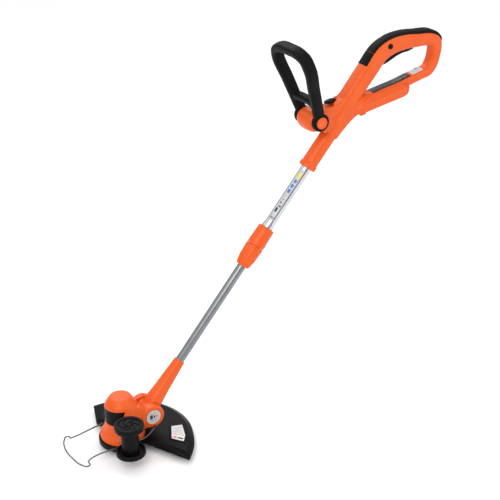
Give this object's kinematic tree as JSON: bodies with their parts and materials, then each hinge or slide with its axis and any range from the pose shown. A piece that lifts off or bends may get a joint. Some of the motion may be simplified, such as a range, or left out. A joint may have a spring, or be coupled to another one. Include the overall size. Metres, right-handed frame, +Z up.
{
  "type": "string trimmer",
  "caption": "Battery string trimmer: rear loop handle with trigger, tilting assist handle, telescopic tube, and a tilting head with guard, edging wheel, wire guard and line spool.",
  "frame": {"origin": "on the spool's axis at the underside of the bump cap, the lowest point", "axes": "+Z up along the spool's axis, +X back towards the user along the shaft's plane, +Y to the user's right; the user stands at +X and faces the head, towards -X, so -Y is the user's left"},
  "size_m": [1.0065, 0.315, 0.8518],
  "materials": {
    "orange_shell": "semi-gloss moulded plastic, fine texture, darker scuffs on edges",
    "black_plastic": "satin moulded plastic with fine grain",
    "grip_rubber": "soft moulded rubber, low sheen",
    "lead_rubber": "smooth cable jacket",
    "bright_tube": "polished, drawn lengthwise",
    "grey_tube": "satin anodised grey",
    "steel": "zinc-plated",
    "wire_steel": "bright drawn wire",
    "nylon": "natural nylon",
    "trimmer_line": "orange nylon line"
  },
  "bodies": {
    "handle": {"housing_left": "orange_shell", "housing_right": "orange_shell", "housing_screw_1": "steel", "housing_screw_2": "steel", "housing_screw_3": "steel", "housing_screw_4": "steel", "grip_nose": "grip_rubber", "grip_overmold": "grip_rubber", "trigger_spring": "steel", "trigger_pin": "steel", "switch_module": "black_plastic", "terminal_block": "black_plastic", "switch_lead": "lead_rubber", "pivot_bolt": "steel", "lever_pin": "steel", "upper_tube": "bright_tube", "tube_pin": "steel", "collar_sleeve": "orange_shell", "collet": "nylon", "coiled_lead": "lead_rubber"},
    "trigger": {"trigger": "black_plastic"},
    "lock_off_button": {"lock_off_button": "black_plastic"},
    "assist_handle": {"aux_handle": "grip_rubber", "pivot_cap_left": "orange_shell", "pivot_cap_right": "orange_shell"},
    "lock_lever": {"lock_lever": "black_plastic"},
    "collar": {"collar_nut": "orange_shell"},
    "lower_shaft": {"lower_tube": "grey_tube", "slide_bush": "nylon", "motor_lead": "lead_rubber", "neck_left": "orange_shell", "neck_right": "orange_shell", "neck_screw": "steel"},
    "head": {"head_left": "orange_shell", "head_right": "orange_shell", "vent_panel": "black_plastic", "motor": "steel", "tilt_pin": "steel", "tilt_cap_left": "orange_shell", "tilt_cap_right": "orange_shell", "guard": "black_plastic", "guard_screw_1": "steel", "guard_screw_2": "steel", "cutter_blade": "steel", "wheel_bracket": "black_plastic"},
    "spool_drum": {"spool_drum": "black_plastic", "motor_shaft": "steel", "spool_spring": "steel", "line_eyelet": "steel", "line_tail": "trimmer_line"},
    "bump_cap": {"spool_cap": "black_plastic", "spool": "nylon", "wound_line": "trimmer_line"},
    "edge_wheel": {"wheel_axle": "steel", "wheel_top": "black_plastic", "wheel_bottom": "black_plastic", "wheel_nut": "steel"},
    "wire_guard": {"wire_guard": "wire_steel"}
  },
  "joints": [
    {"name": "trigger_pull", "type": "hinge", "parent": "handle", "child": "trigger", "pos_m": [0.785, 0, 0.791], "axis": [0, 1, 0], "range_deg": [0, 6], "stiffness_Nm_per_rad": 1, "springref_deg": -5.73, "deforming": ["trigger_spring"]},
    {"name": "lock_off_press", "type": "slide", "parent": "handle", "child": "lock_off_button", "axis": [0, 1, 0], "range_m": [-0.003, 0.003], "stiffness_N_per_m": 400},
    {"name": "assist_handle_tilt", "type": "hinge", "parent": "handle", "child": "assist_handle", "pos_m": [0.5145, 0, 0.6725], "axis": [0, 1, 0], "range_deg": [-25, 35]},
    {"name": "lock_lever_lift", "type": "hinge", "parent": "handle", "child": "lock_lever", "pos_m": [0.573, 0, 0.6995], "axis": [0, 1, 0], "range_deg": [0, 20]},
    {"name": "collar_twist", "type": "hinge", "parent": "handle", "child": "collar", "pos_m": [0.063, 0, 0.0665], "axis": [0.6652, 0, 0.7466], "range_deg": [0, 90]},
    {"name": "shaft_length", "type": "slide", "parent": "handle", "child": "lower_shaft", "axis": [0.6652, 0, 0.7466], "range_m": [-0.03, 0.14], "deforming": ["coiled_lead"]},
    {"name": "head_tilt", "type": "hinge", "parent": "lower_shaft", "child": "head", "pos_m": [0.063, 0, 0.0665], "axis": [0, 1, 0], "range_deg": [-50, 30]},
    {"name": "spool_spin", "type": "hinge", "parent": "head", "child": "spool_drum", "pos_m": [0, 0, 0.02], "axis": [0, 0, 1], "continuous": true},
    {"name": "cap_bump", "type": "slide", "parent": "spool_drum", "child": "bump_cap", "axis": [0, 0, 1], "range_m": [0, 0.004], "stiffness_N_per_m": 1500, "springref_m": -0.006, "deforming": ["spool_spring"]},
    {"name": "edge_wheel_spin", "type": "hinge", "parent": "head", "child": "edge_wheel", "pos_m": [-0.0217, -0.0873, 0.07], "axis": [0, 0, 1], "continuous": true},
    {"name": "wire_guard_swing", "type": "hinge", "parent": "head", "child": "wire_guard", "pos_m": [0.064, 0, 0.043], "axis": [0, 1, 0], "range_deg": [0, 20]}
  ]
}
